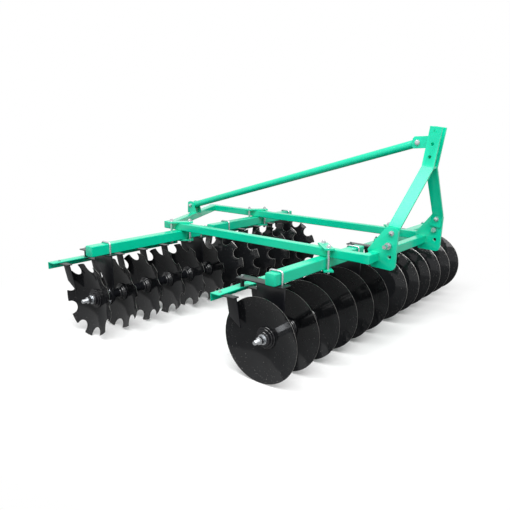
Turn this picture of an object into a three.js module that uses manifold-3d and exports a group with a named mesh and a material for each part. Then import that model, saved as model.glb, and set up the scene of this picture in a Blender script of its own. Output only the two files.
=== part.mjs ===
// Mounted disc harrow: four straight gangs of six discs under a welded frame with a three-point hitch.
// Millimetres, +Z up, the tractor side is -Y. Facing forward, the right-hand side is -X.
// It is laid out from a point on the ground, on the hitch's centre line, midway between the two axle rows.
// At the end the origin moves to the middle of its box, on the ground.
import * as THREE from "three";
import { mergeVertices } from "three/addons/utils/BufferGeometryUtils.js";
import Module from "manifold-3d";

const wasm = await Module();
wasm.setup();

// ---- driving sizes ---------------------------------------------------------------------------
const fit = 0.3; // clearance between two pieces that are bolted together
const clear = 0.5; // clearance between a disc, its square bar and its spools

const discRadius = 230;
const discThickness = 4;
const discDepth = 56; // from the hub face to the plane of the rim
const discPitch = 200;
const discsPerGang = 6;
const discSegments = 27; // a whole number of corners for each notch
const discFlat = 57; // radius of the flat centre
const discKnee = 150; // radius of the ring of corners between the flat centre and the rim
const rimThickness = 1.6; // the steel thins from the knee to the cutting edge
const notchCount = 9;
const notchMouth = 89; // width at the rim
const notchDepth = 52;
const notchRound = 41; // radius of the bottom
const notchPhase = THREE.MathUtils.degToRad(5.7); // first notch of the outermost disc, from straight up
const discTurn = THREE.MathUtils.degToRad(90); // from one disc to the next, by the square bar

const barSide = 30; // square axle bar
const spoolRadius = 26;
const spoolSegments = 12;
const domeRadius = 55; // spool end that bears on the concave face
const domeRim = 22; // from the disc to the edge of that end
const domeNeck = 40; // from the disc to the foot of that end
const flangeRadius = 46; // spool end that bears on the convex face
const flangeTaper = 30;
const endBell = { length: 30, rim: 9, knee: 24, kneeRadius: 44, topRadius: 30 };
const endWasher = { length: 7.5, edge: 6 };
const axleNut = { acrossFlats: 46, outer: 29, inner: 20 };
const endThreadRadius = 14;
const axleReach = 100; // from the outermost hub to the tip of the thread
const axleTail = 37; // from the innermost hub to the other tip

const rowHalfSpacing = 600; // from the origin to each axle row

const beamAboveAxle = 271; // from the axle to the underside of the gang beams
const gangBeamSide = 65;
const frameBeamSide = 50;
const frameHalfWidth = 435; // centre line of the long beams
const frontReach = 285; // from the front row to the front of the frame
const rightBeamReach = 145; // from the rear row to the end of the right beam
const leftBeamReach = 522;
const rearCrossAngle = 24.7; // degrees, the rear crossbeam runs back towards the left beam
const rearCrossReach = 294; // from the rear row to its centre line, at the middle of the frame

const bearingGap = 0.4; // running clearance of the spool in its bearing
const hangerPlate = { halfWidth: 50, thickness: 7, front: -69, rear: 193 };
const hangerTab = { halfWidth: 30, thickness: 7, rear: 252 }; // steps down from the plate to the scraper angle
const hangerLeg = { near: 2, far: 12 }; // faces of the flat leg, from the U-bolt's plane
// The leg's rear edge: distance behind the axle, and share of the leg's height.
const hangerKnees = [
  { back: 13, up: 0.315 },
  { back: 60, up: 0.554 },
  { back: 109, up: 0.694 },
  { back: 119, up: 0.933 },
];
const housingRadius = 62;
const housing = { near: -22, far: 26 }; // bearing housing, from the U-bolt's plane
const bearingSegments = 18;
const uBolt = { thickness: 12, corner: 16, tail: 16 };

const scraperAngle = { below: 56, front: 209, rear: 271, wall: 5, drop: 45 }; // below the gang beam, behind the axle
const scraper = {
  thickness: 6,
  topFront: 155, // front and rear edges under the angle, behind the axle
  topRear: 223,
  tipFront: 116,
  heelRear: 203,
  topOffset: 107, // from the hub towards the hollow side
  tipOffset: 34,
  tipHeight: 42, // above the axle
  heelHeight: 125,
};
const scraperFoot = { halfWidth: 20, thickness: 6, rear: 262, margin: 15 };

const clampReach = 64; // from the crossing to each clamp bolt
const clampPlate = { length: 176, width: 58, thickness: 10 };
const clampBoltRadius = 8;
const clampNutAcross = 27.7; // over the corners

const hitchHalfSpan = 341.5; // shoulder of the lower hitch pins, category I
const hitchPlateThickness = 16;
const hitchPinAhead = 51; // of the frame's front
const hitchPinRise = 93.7; // above the underside of the frame
const hitchPinRadius = 11;
const hitchPinLength = 58; // from the plate to the tip
const hitchCollar = { radius: 19, length: 14 };
const hitchNut = { acrossFlats: 30, height: 16, tail: 5 };
const hitchHoleRadius = 11.5;
const spareHole = { ahead: 8, below: 63 }; // from the pin

const mastLean = 7.4; // degrees forward
const mastWidth = 70;
const mastThickness = 12;
const mastGap = 50; // clevis for the top link
const mastFootAhead = 11; // of the hitch pin
const mastFootRise = 70; // above the hitch pin
const mastBend = 343; // along the mast, from the foot bolt
const mastTop = 566;
const mastHoles = [401, 472, 540];
const mastHoleRadius = 10;

const stayRadius = 24;
const stayWall = 4;
const stayOverrun = 22; // the tube runs past both bolts
const stayBehindMast = 27; // front bolt, from the foot of the mast
const stayAboveFoot = 475;
const stayBehindCross = 13; // rear bolt, from the rear crossbeam
const stayAboveFrame = 56.7;
const stayHoleRadius = 10.5;
const stayEar = { thickness: 10, gap: 2 * (stayRadius + fit) };

// ---- levels and stations that follow ------------------------------------------------------------
const axleHeight = discRadius;
const gangBeamBottom = axleHeight + beamAboveAxle;
const gangBeamTop = gangBeamBottom + gangBeamSide;
const hangerTop = gangBeamBottom - fit;
const plateBottom = hangerTop - hangerPlate.thickness;
const scraperTop = gangBeamBottom - scraperAngle.below;
const frameBottom = gangBeamTop + fit;
const frameTop = frameBottom + frameBeamSide;
const frameFront = -rowHalfSpacing - frontReach;
const rearCrossMiddle = rowHalfSpacing + rearCrossReach;
const hitchPinY = frameFront - hitchPinAhead;
const hitchPinZ = frameBottom + hitchPinRise;
const mastFootY = hitchPinY - mastFootAhead;
const mastFootZ = hitchPinZ + mastFootRise;
const stayFront = { y: mastFootY + stayBehindMast, z: mastFootZ + stayAboveFoot };
const stayRear = { y: rearCrossMiddle + stayBehindCross, z: frameTop + stayAboveFrame };
const gangLength = (discsPerGang - 1) * discPitch; // between the outermost and the innermost hub

// ---- the four gangs ---------------------------------------------------------------------------
// inner: X of the innermost hub; side: the way the hollow faces look; row: which axle row;
// beamOut and beamIn: how far the gang beam stops short of the outermost and the innermost hub;
// angleOut: how far the scraper angle runs past the outermost hub;
// bearing: from a hub to the plane of its hanger's U-bolt.
const gangs = [
  { name: "front_right", inner: 20, side: -1, row: -1, notched: false, beamOut: 21, beamIn: 50, angleOut: 130, bearing: 130 },
  { name: "front_left", inner: 185, side: 1, row: -1, notched: false, beamOut: 21, beamIn: 50, angleOut: 130, bearing: 90 },
  { name: "rear_right", inner: -165, side: -1, row: 1, notched: true, beamOut: -30, beamIn: 35, angleOut: 150, bearing: 105 },
  { name: "rear_left", inner: -60, side: 1, row: 1, notched: true, beamOut: 45, beamIn: -70, angleOut: 150, bearing: 100 },
];
const hangerDiscs = [1, 5]; // the discs whose hollow side carries a bearing

// ---- colours ----------------------------------------------------------------------------------
const green = 0x3fe0bd;
const black = 0x1c1d1f;
const steel = 0x4b4d50;
const zinc = 0xc9ccd2;

// ---- helpers ----------------------------------------------------------------------------------
function solid(geometry) {
  const g = geometry.index ? geometry.toNonIndexed() : geometry.clone();
  g.deleteAttribute("normal");
  g.deleteAttribute("uv");
  const merged = mergeVertices(g, 1e-4);
  const build = (triVerts) =>
    new wasm.Manifold(
      new wasm.Mesh({ numProp: 3, vertProperties: new Float32Array(merged.attributes.position.array), triVerts }),
    );
  const tri = new Uint32Array(merged.index.array);
  const made = build(tri);
  if (made.volume() > 0) return made;
  for (let i = 0; i < tri.length; i += 3) [tri[i + 1], tri[i + 2]] = [tri[i + 2], tri[i + 1]];
  return build(tri);
}

function union(list) {
  return list.reduce((a, b) => a.add(b));
}

function box(x0, x1, y0, y1, z0, z1) {
  const g = new THREE.BoxGeometry(Math.abs(x1 - x0), Math.abs(y1 - y0), Math.abs(z1 - z0));
  return solid(g.translate((x0 + x1) / 2, (y0 + y1) / 2, (z0 + z1) / 2));
}

// A round bar along X from x0 to x1.
function roundX(x0, x1, y, z, radius, segments = 20) {
  const g = new THREE.CylinderGeometry(radius, radius, Math.abs(x1 - x0), segments);
  return solid(g.rotateZ(Math.PI / 2).translate((x0 + x1) / 2, y, z));
}

// A turned piece on an axle row, with a corner at the very bottom: profile rows are [radius, x].
function turned(profile, y, segments) {
  const points = profile.map(([r, x]) => new THREE.Vector2(r, x));
  const g = new THREE.LatheGeometry(points, segments, Math.PI);
  return solid(g.rotateZ(-Math.PI / 2).translate(0, y, axleHeight));
}

// A closed round path with n corners and no doubled end point.
function circle(x, y, radius, n) {
  const corner = (_, i) => {
    const a = (i * 2 * Math.PI) / n;
    return new THREE.Vector2(x + radius * Math.cos(a), y + radius * Math.sin(a));
  };
  return new THREE.Path(Array.from({ length: n }, corner));
}

// Turns what is drawn in XY and extruded along Z into the YZ plane, extruded along X.
const alongX = new THREE.Matrix4().makeBasis(
  new THREE.Vector3(0, 1, 0),
  new THREE.Vector3(0, 0, 1),
  new THREE.Vector3(1, 0, 0),
);

// A flat plate cut in the YZ plane and laid between x0 and x1.
function plateYZ(outline, x0, x1, holes = []) {
  const shape = new THREE.Shape(outline.map(([y, z]) => new THREE.Vector2(y, z)));
  for (const [y, z, r] of holes) shape.holes.push(circle(y, z, r, 12));
  const g = new THREE.ExtrudeGeometry(shape, { depth: Math.abs(x1 - x0), bevelEnabled: false, curveSegments: 6 });
  return solid(g.applyMatrix4(alongX).translate(Math.min(x0, x1), 0, 0));
}

// A square beam seen from its end, with a narrow chamfer on each corner.
function chamferedSquare(side, chamfer) {
  const h = side / 2;
  const s = new THREE.Shape();
  for (let i = 0; i < 4; i++) {
    const a = (i * Math.PI) / 2;
    const corner = (x, y) => [Math.cos(a) * x - Math.sin(a) * y, Math.sin(a) * x + Math.cos(a) * y];
    if (i === 0) s.moveTo(...corner(h, -h + chamfer));
    else s.lineTo(...corner(h, -h + chamfer));
    s.lineTo(...corner(h, h - chamfer));
  }
  return s;
}

// A square beam whose centre line runs from a to b.
function beam(side, a, b) {
  const from = new THREE.Vector3(...a);
  const to = new THREE.Vector3(...b);
  const g = new THREE.ExtrudeGeometry(chamferedSquare(side, side * 0.07), {
    depth: from.distanceTo(to),
    bevelEnabled: false,
  });
  const along = to.clone().sub(from).normalize();
  const sideways = new THREE.Vector3(0, 0, 1).cross(along).normalize();
  const up = along.clone().cross(sideways);
  g.applyMatrix4(new THREE.Matrix4().makeBasis(sideways, up, along));
  return solid(g.translate(from.x, from.y, from.z));
}

// Both sides of a bent flat bar, from the points of its outer side.
function bentBar(outer, thickness) {
  const inner = outer.map(([x, z], i) => {
    const dirs = [];
    if (i > 0) dirs.push([x - outer[i - 1][0], z - outer[i - 1][1]]);
    if (i < outer.length - 1) dirs.push([outer[i + 1][0] - x, outer[i + 1][1] - z]);
    const normals = dirs.map(([dx, dz]) => {
      const n = Math.hypot(dx, dz);
      return [dz / n, -dx / n];
    });
    const nx = normals.reduce((s, n) => s + n[0], 0);
    const nz = normals.reduce((s, n) => s + n[1], 0);
    const k = thickness / (nx * normals[0][0] + nz * normals[0][1]);
    return [x + nx * k, z + nz * k];
  });
  return [...outer, ...inner.reverse()];
}

const group = new THREE.Group();
function put(name, body, color, metalness = 0.2, roughness = 0.4) {
  const m = body.getMesh();
  const n = m.numProp;
  const position = new Float32Array(m.numVert * 3);
  for (let i = 0; i < m.numVert; i++) position.set(m.vertProperties.subarray(i * n, i * n + 3), i * 3);
  const g = new THREE.BufferGeometry()
    .setAttribute("position", new THREE.BufferAttribute(position, 3))
    .setIndex(new THREE.BufferAttribute(new Uint32Array(m.triVerts), 1));
  g.computeVertexNormals();
  const mesh = new THREE.Mesh(g, new THREE.MeshStandardMaterial({ color, metalness, roughness, flatShading: true }));
  mesh.name = name;
  group.add(mesh);
}

// ---- discs ------------------------------------------------------------------------------------
const dish = (r) => (discDepth * Math.max(0, r ** 2 - discFlat ** 2)) / (discRadius ** 2 - discFlat ** 2);
const dishStations = [0, discFlat, discKnee];

// Side, bottom and side of a notch, cut well past the rim.
function notchShape() {
  const floor = discRadius - notchDepth;
  const lip = Math.sqrt(discRadius ** 2 - (notchMouth / 2) ** 2);
  const past = discRadius + notchDepth;
  const shape = new THREE.Shape();
  shape.moveTo(-notchMouth / 2, past);
  shape.lineTo(-notchMouth / 2, lip);
  shape.absarc(0, floor + notchRound, notchRound, Math.PI, 2 * Math.PI, false);
  shape.lineTo(notchMouth / 2, lip);
  shape.lineTo(notchMouth / 2, past);
  return shape;
}

// hub: X of the hub plane; side: the way the hollow face looks; turn: of the first notch, from straight up.
function disc(hub, side, y, notched, turn) {
  const half = discThickness / 2;
  const hollow = [...dishStations, discRadius].map((r) => [r, hub + side * (dish(r) + half)]);
  const crown = dishStations.map((r) => [r, hub + side * (dish(r) - half)]);
  crown.push([discRadius, hub + side * (dish(discRadius) + half - rimThickness)]);
  let body = turned([...hollow, ...crown.reverse()], y, discSegments);
  const square = barSide / 2 + clear;
  const through = 2 * discThickness;
  body = body.subtract(
    box(hub - through, hub + through, y - square, y + square, axleHeight - square, axleHeight + square),
  );
  if (!notched) return body;
  const depth = 4 * discDepth;
  const cutter = new THREE.ExtrudeGeometry(notchShape(), { depth, bevelEnabled: false, curveSegments: 2 });
  cutter.translate(0, 0, -depth / 2).applyMatrix4(alongX);
  for (let i = 0; i < notchCount; i++) {
    const turnedCutter = cutter.clone().rotateX(turn + (i * 2 * Math.PI) / notchCount);
    body = body.subtract(solid(turnedCutter.translate(hub, y, axleHeight)));
  }
  return body;
}

// ---- axle bar, spools, end washers and nuts ------------------------------------------------------
function axle(y, at) {
  const seat = discThickness / 2 + clear;
  const bar = barSide / 2;
  const nutRadius = axleNut.acrossFlats / Math.sqrt(3);
  const bellTop = -seat - endBell.length;
  const washerTop = gangLength + seat + endWasher.length;
  const grip = 1; // each nut and thread starts inside the piece before it
  const parts = [
    box(at(bellTop - grip), at(washerTop + grip), y - bar, y + bar, axleHeight - bar, axleHeight + bar),
    roundX(at(bellTop + grip), at(bellTop - axleNut.outer), y, axleHeight, nutRadius, 6),
    roundX(at(bellTop), at(-axleReach), y, axleHeight, endThreadRadius, 12),
    roundX(at(washerTop - grip), at(washerTop + axleNut.inner), y, axleHeight, nutRadius, 6),
    roundX(at(washerTop), at(gangLength + axleTail), y, axleHeight, endThreadRadius, 12),
  ];
  const rows = [
    [
      [domeRadius, -seat],
      [domeRadius, -seat - endBell.rim],
      [endBell.kneeRadius, -seat - endBell.knee],
      [endBell.topRadius, bellTop],
    ],
    [
      [flangeRadius, gangLength + seat],
      [flangeRadius - endWasher.edge, washerTop],
    ],
  ];
  for (let k = 1; k < discsPerGang; k++) {
    const start = (k - 1) * discPitch + seat;
    const end = k * discPitch - seat;
    rows.push([
      [flangeRadius, start],
      [spoolRadius, start + flangeTaper],
      [spoolRadius, end - domeNeck],
      [domeRadius, end - domeRim],
      [domeRadius, end],
    ]);
  }
  for (const row of rows) {
    const closed = [[0, row[0][1]], ...row, [0, row.at(-1)[1]]];
    parts.push(turned(closed.map(([r, s]) => [r, at(s)]), y, spoolSegments));
  }
  return union(parts);
}

// ---- hanger: top plate with its U-bolt, flat leg, bearing housing and the tab for the scraper angle ----
// The U-bolt over the gang beam, as an outline in the YZ plane round the middle of the beam.
function uBoltOutline(y) {
  const inner = gangBeamSide / 2 + fit;
  const outer = inner + uBolt.thickness;
  const foot = plateBottom - uBolt.tail;
  const arch = (half, top, radius) => [
    [y - half, foot],
    [y - half, top - radius],
    [y - half + 0.3 * radius, top - 0.3 * radius],
    [y - half + radius, top],
    [y + half - radius, top],
    [y + half - 0.3 * radius, top - 0.3 * radius],
    [y + half, top - radius],
    [y + half, foot],
  ];
  const over = arch(outer, gangBeamTop + fit + uBolt.thickness, uBolt.corner);
  const under = arch(inner, gangBeamTop + fit, 4);
  return [...over, ...under.reverse()];
}

// at: X at a distance from the U-bolt's plane, towards the hollow side.
function hanger(y, at) {
  const front = y - housingRadius;
  const intoPlate = plateBottom + 2;
  const legHeight = plateBottom - axleHeight;
  const leg = [
    [front, intoPlate],
    [front, axleHeight],
    [y, axleHeight],
    ...hangerKnees.map(({ back, up }) => [y + back, axleHeight + up * legHeight]),
    [y + hangerKnees.at(-1).back, intoPlate],
  ];
  const tabFoot = scraperTop + fit;
  const tabFront = y + hangerPlate.rear - hangerTab.thickness;
  const tab = [
    [tabFront, hangerTop],
    [tabFront, tabFoot],
    [y + hangerTab.rear, tabFoot],
    [y + hangerTab.rear, tabFoot + hangerTab.thickness],
    [y + hangerPlate.rear, tabFoot + hangerTab.thickness],
    [y + hangerPlate.rear, hangerTop],
  ];
  const across = (half) => [at(-half), at(half)];
  const past = hangerPlate.halfWidth;
  const bore = (spoolRadius + bearingGap) / Math.cos(Math.PI / bearingSegments);
  return plateYZ(leg, at(hangerLeg.near), at(hangerLeg.far))
    .add(box(...across(hangerPlate.halfWidth), y + hangerPlate.front, y + hangerPlate.rear, plateBottom, hangerTop))
    .add(plateYZ(uBoltOutline(y), ...across(uBolt.thickness / 2)))
    .add(plateYZ(tab, ...across(hangerTab.halfWidth)))
    .add(roundX(at(housing.near), at(housing.far), y, axleHeight, housingRadius, bearingSegments))
    .subtract(roundX(at(-past), at(past), y, axleHeight, bore, bearingSegments));
}

// ---- scraper bar: steel angle with one slanted strip for each disc -------------------------------
function scraperBar(gang, y, at) {
  const { front, rear, wall, drop } = scraperAngle;
  const under = scraperTop - wall;
  const angle = [
    [y + front, scraperTop],
    [y + front, under],
    [y + rear - wall, under],
    [y + rear - wall, scraperTop - drop],
    [y + rear, scraperTop - drop],
    [y + rear, scraperTop],
  ];
  const lastStrip = gangLength - scraper.topOffset;
  let body = plateYZ(angle, at(-gang.angleOut), at(lastStrip + scraperFoot.halfWidth + scraperFoot.margin));
  const rise = under - axleHeight;
  const slant = Math.atan2(scraper.topOffset - scraper.tipOffset, rise - scraper.tipHeight);
  const along = 1 / Math.cos(slant);
  const strip = [
    [y + scraper.topFront, 0],
    [y + scraper.tipFront, (scraper.tipHeight - rise) * along],
    [y + scraper.heelRear, (scraper.heelHeight - rise) * along],
    [y + scraper.topRear, 0],
  ];
  const half = scraper.thickness / 2;
  for (let k = 0; k < discsPerGang; k++) {
    const x = at(k * discPitch - scraper.topOffset);
    const blade = plateYZ(strip, -half, half).rotate([0, gang.side * THREE.MathUtils.radToDeg(slant), 0]);
    const foot = box(
      x - scraperFoot.halfWidth,
      x + scraperFoot.halfWidth,
      y + scraper.topFront,
      y + scraperFoot.rear,
      under - scraperFoot.thickness,
      under + 0.5,
    );
    body = body.add(blade.translate([x, 0, under - 0.5])).add(foot);
  }
  return body;
}

// ---- clamp: two diagonal plates and two long bolts round a crossing -------------------------------
function clamp(x, y, turn) {
  const t = clampPlate.thickness;
  const l = clampPlate.length / 2;
  const w = clampPlate.width / 2;
  const topZ = frameTop + fit;
  const lowZ = gangBeamBottom - fit;
  const plates = [
    [topZ, topZ + t],
    [lowZ - t, lowZ],
  ].map(([z0, z1]) => {
    const g = new THREE.BoxGeometry(2 * l, 2 * w, z1 - z0);
    return solid(g.rotateZ(turn).translate(x, y, (z0 + z1) / 2));
  });
  const bolts = [-1, 1].flatMap((s) => {
    const bx = x + s * clampReach * Math.cos(turn);
    const by = y + s * clampReach * Math.sin(turn);
    const shank = new THREE.CylinderGeometry(clampBoltRadius, clampBoltRadius, topZ - lowZ + 2 * t + 36, 10);
    shank.rotateX(Math.PI / 2).translate(bx, by, (topZ + lowZ) / 2);
    const nuts = [topZ + t + 6, lowZ - t - 6].map((z) => {
      const nut = new THREE.CylinderGeometry(clampNutAcross / 2, clampNutAcross / 2, 13, 6);
      return solid(nut.rotateX(Math.PI / 2).translate(bx, by, z));
    });
    return [solid(shank), ...nuts];
  });
  return union([...plates, ...bolts]);
}

// ---- welded frame ---------------------------------------------------------------------------------
const hitchInner = hitchHalfSpan - hitchPlateThickness;
const hitchOutline = [
  [hitchPinY + 124, frameTop + 9],
  [hitchPinY + 96, hitchPinZ - 132],
  [hitchPinY - 22, hitchPinZ - 137],
  [hitchPinY - 36, hitchPinZ - 130],
  [hitchPinY - 44, hitchPinZ - 115],
  [hitchPinY - 48, mastFootZ + 14],
  [hitchPinY - 40, mastFootZ + 26],
  [hitchPinY - 26, mastFootZ + 32],
  [hitchPinY + 22, mastFootZ + 32],
];
// A hole of 12 corners that clears the round pin.
const hitchPinHole = (hitchPinRadius + fit) / Math.cos(Math.PI / 12);

function frame() {
  const z = (frameBottom + frameTop) / 2;
  const h = frameBeamSide / 2;
  const w = frameHalfWidth;
  const tan = Math.tan(THREE.MathUtils.degToRad(rearCrossAngle));
  const rearLine = (x) => rearCrossMiddle + x * tan;
  const parts = [
    beam(frameBeamSide, [-w, frameFront, z], [-w, rowHalfSpacing + rightBeamReach, z]),
    beam(frameBeamSide, [w, frameFront, z], [w, rowHalfSpacing + leftBeamReach, z]),
    beam(frameBeamSide, [-w - h, frameFront + h, z], [w + h, frameFront + h, z]),
    beam(frameBeamSide, [-w, rearLine(-w), z], [w, rearLine(w), z]),
  ];
  for (const s of [-1, 1]) {
    const holes = [
      [mastFootY, mastFootZ, hitchHoleRadius],
      [hitchPinY, hitchPinZ, hitchPinHole],
      [hitchPinY - spareHole.ahead, hitchPinZ - spareHole.below, hitchHoleRadius],
    ];
    parts.push(plateYZ(hitchOutline, s * hitchInner, s * hitchHalfSpan, holes));
  }
  const earInner = stayEar.gap / 2;
  const base = rearLine(0);
  const ear = [
    [base - 46, frameTop - 4],
    [base + 46, frameTop - 4],
    [stayRear.y + 30, stayRear.z + 22],
    [stayRear.y + 12, stayRear.z + 32],
    [stayRear.y - 12, stayRear.z + 32],
    [stayRear.y - 30, stayRear.z + 22],
  ];
  for (const s of [-1, 1]) {
    const hole = [[stayRear.y, stayRear.z, stayHoleRadius]];
    parts.push(plateYZ(ear, s * earInner, s * (earInner + stayEar.thickness), hole));
  }
  return union(parts);
}

// Lower hitch pin: collar and pin outside the plate, and the nut on its shank inside.
function hitchPin(side) {
  const x = (o) => side * (hitchHalfSpan + o);
  const inside = -hitchPlateThickness - fit;
  const nutRadius = hitchNut.acrossFlats / Math.sqrt(3);
  return union([
    roundX(x(inside - hitchNut.height - hitchNut.tail), x(hitchPinLength), hitchPinY, hitchPinZ, hitchPinRadius),
    roundX(x(fit), x(hitchCollar.length), hitchPinY, hitchPinZ, hitchCollar.radius),
    roundX(x(inside), x(inside - hitchNut.height), hitchPinY, hitchPinZ, nutRadius, 6),
  ]);
}

// ---- mast ---------------------------------------------------------------------------------------------
function mast() {
  const outerFoot = hitchInner - fit;
  const outerTop = mastGap / 2 + mastThickness;
  const outer = [
    [outerFoot, -48],
    [outerFoot, 34],
    [outerTop, mastBend],
    [outerTop, mastTop],
  ];
  const section = bentBar(outer.map(([x, z]) => [-x, z]), mastThickness);
  const parts = [];
  for (const s of [1, -1]) {
    const shape = new THREE.Shape(section.map(([x, z]) => new THREE.Vector2(s * x, z)));
    const g = new THREE.ExtrudeGeometry(shape, { depth: mastWidth, bevelEnabled: false });
    parts.push(solid(g.translate(0, 0, -mastWidth / 2).rotateX(Math.PI / 2)));
  }
  parts.push(box(-mastGap / 2 - 1, mastGap / 2 + 1, -mastWidth / 2 + 4, mastWidth / 2 - 4, mastBend - 4, mastBend + 8));
  let body = union(parts);
  for (const z of mastHoles) body = body.subtract(roundX(-60, 60, 0, z, mastHoleRadius, 12));
  for (const s of [-1, 1]) {
    body = body.subtract(roundX(s * (hitchInner - 20), s * (hitchInner + 5), 0, 0, hitchHoleRadius, 12));
  }
  body = body.rotate([mastLean, 0, 0]).translate([0, mastFootY, mastFootZ]);
  const lug = [
    [stayFront.y - 65, stayFront.z - 29],
    [stayFront.y + 22, stayFront.z - 35],
    [stayFront.y + 30, stayFront.z - 21],
    [stayFront.y + 30, stayFront.z + 21],
    [stayFront.y + 20, stayFront.z + 33],
    [stayFront.y - 65, stayFront.z + 37],
  ];
  const inner = stayEar.gap / 2;
  for (const s of [-1, 1]) {
    const hole = [[stayFront.y, stayFront.z, stayHoleRadius]];
    body = body.add(plateYZ(lug, s * inner, s * (inner + stayEar.thickness), hole));
  }
  return body;
}

// ---- stay: round tube from the mast lugs to the ears on the rear crossbeam ---------------------------------
function stay() {
  const from = new THREE.Vector3(0, stayFront.y, stayFront.z);
  const to = new THREE.Vector3(0, stayRear.y, stayRear.z);
  const along = to.clone().sub(from).normalize();
  const length = from.distanceTo(to) + 2 * stayOverrun;
  const ring = new THREE.Shape(circle(0, 0, stayRadius, 16).getPoints());
  ring.holes.push(circle(0, 0, stayRadius - stayWall, 16));
  const path = new THREE.LineCurve3(new THREE.Vector3(0, 0, 0), new THREE.Vector3(0, 0, length));
  const g = new THREE.ExtrudeGeometry(ring, { steps: 1, extrudePath: path, curveSegments: 10 });
  const turn = new THREE.Quaternion().setFromUnitVectors(new THREE.Vector3(0, 0, 1), along);
  const start = from.clone().addScaledVector(along, -stayOverrun);
  g.applyQuaternion(turn).translate(start.x, start.y, start.z);
  let body = solid(g);
  const past = 2 * stayRadius;
  for (const p of [stayFront, stayRear]) body = body.subtract(roundX(-past, past, p.y, p.z, stayHoleRadius, 12));
  return body;
}

// ---- assembly ---------------------------------------------------------------------------------------------------
put("main_frame", frame(), green);
put("mast", mast(), green);
put("stay_tube", stay(), green);
put("hitch_pin_right", hitchPin(-1), zinc, 0.9, 0.3);
put("hitch_pin_left", hitchPin(1), zinc, 0.9, 0.3);

for (const gang of gangs) {
  const y = gang.row * rowHalfSpacing;
  const outer = gang.inner + gang.side * gangLength;
  const at = (s) => outer - gang.side * s; // s runs inwards from the outermost hub
  const beamZ = gangBeamBottom + gangBeamSide / 2;
  const beamEnds = [gang.beamOut, gangLength - gang.beamIn].map((s) => [at(s), y, beamZ]);
  put(`gang_beam_${gang.name}`, beam(gangBeamSide, ...beamEnds), green);
  const crossing = gang.side * frameHalfWidth;
  put(`clamp_${gang.name}`, clamp(crossing, y, gang.row < 0 ? Math.PI / 4 : -Math.PI / 4), green);
  put(`scraper_bar_${gang.name}`, scraperBar(gang, y, at), green);
  hangerDiscs.forEach((k, i) => {
    const atHanger = (o) => at(k * discPitch - gang.bearing - o);
    put(`hanger_${gang.name}_${i + 1}`, hanger(y, atHanger), black);
  });
  put(`axle_${gang.name}`, axle(y, at), steel, 0.7, 0.35);
  for (let k = 0; k < discsPerGang; k++) {
    const body = disc(at(k * discPitch), gang.side, y, gang.notched, notchPhase + k * discTurn);
    put(`disc_${gang.name}_${k + 1}`, body, black, 0.7, 0.3);
  }
}

const bounds = new THREE.Box3().setFromObject(group);
const middle = bounds.getCenter(new THREE.Vector3());
group.position.set(-middle.x, -middle.y, -bounds.min.z);

export default group;
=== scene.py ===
"""Dresses the mounted disc harrow: enamel, lacquered discs, cast spools, zinc fasteners and studio."""

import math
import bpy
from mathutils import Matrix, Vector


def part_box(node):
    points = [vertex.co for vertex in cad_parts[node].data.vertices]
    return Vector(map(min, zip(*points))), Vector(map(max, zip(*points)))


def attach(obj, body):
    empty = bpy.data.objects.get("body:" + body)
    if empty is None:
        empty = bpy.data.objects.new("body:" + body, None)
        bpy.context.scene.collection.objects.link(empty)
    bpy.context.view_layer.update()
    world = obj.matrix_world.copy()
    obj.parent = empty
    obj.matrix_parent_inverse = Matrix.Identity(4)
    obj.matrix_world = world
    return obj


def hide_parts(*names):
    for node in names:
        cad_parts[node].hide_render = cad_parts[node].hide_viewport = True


bl_info = {
    "name": "Mounted Disc Harrow",
    "version": (1, 0, 0),
    "blender": (4, 5, 0),
    "location": "View3D > Sidebar > Harrow",
    "description": "Builds the visible finish of a mounted disc harrow on its frame",
    "category": "Object",
}

import bmesh
import bpy
from bpy.props import FloatProperty, FloatVectorProperty, IntProperty, PointerProperty
from mathutils import Matrix, Vector

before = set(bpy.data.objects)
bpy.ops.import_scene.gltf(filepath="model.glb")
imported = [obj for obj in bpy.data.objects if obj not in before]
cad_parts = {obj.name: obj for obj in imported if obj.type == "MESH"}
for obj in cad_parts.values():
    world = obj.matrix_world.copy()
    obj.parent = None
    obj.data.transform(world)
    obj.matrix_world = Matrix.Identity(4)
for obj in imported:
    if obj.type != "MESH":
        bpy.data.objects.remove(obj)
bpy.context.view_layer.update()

MM = 0.001
GANGS = ("front_right", "front_left", "rear_right", "rear_left")
DISCS = 6  # in each gang
HANGERS = 2  # on each gang
HANGER_STEP = 4  # discs from one hanger to the next
FIT = 0.3 * MM  # between two pieces that are bolted together
STEEL = 4 * MM  # thickness of a disc
AXLE_BORE = 16 * MM  # radius of the hole through the spools and end pieces
END_BELL = 30 * MM  # length of the bell under the axle nut
END_WASHER = 7 * MM  # thickness of the plain washer behind the last disc
HANGER_WALL = 7 * MM  # thickness of the plate under the beam
U_BAR = 6 * MM  # radius of a U-bolt's bar
SPACER_BACK = 224 * MM  # from the axle to the spacer under the rear end of a hanger
SCRAPER_WALL = 5 * MM
SCRAPER_OFF = 90 * MM  # from the hub to the foot of a strip, towards the hollow side
ANGLE_FRONT, ANGLE_REAR = 209 * MM, 271 * MM  # edges of the scraper angle, behind the axle


def from_hex(code):
    """An sRGB hex colour as linear red, green and blue."""
    parts = [int(code[i : i + 2], 16) / 255 for i in (0, 2, 4)]
    return tuple(p / 12.92 if p <= 0.04045 else ((p + 0.055) / 1.055) ** 2.4 for p in parts)


def middle(node):
    """The middle of a node's box."""
    low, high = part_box(node)
    return (low + high) / 2


def side_of(gang):
    """The way the hollow faces of a gang's discs look, along X."""
    return -1 if gang.endswith("right") else 1


def hub_of(gang, k):
    """The point where disc k of a gang meets the middle of its axle."""
    side = side_of(gang)
    low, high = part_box(f"disc_{gang}_{k}")
    axle = middle(f"axle_{gang}")
    return Vector(((high.x if side < 0 else low.x) + side * STEEL / 2, axle.y, axle.z))


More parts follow.
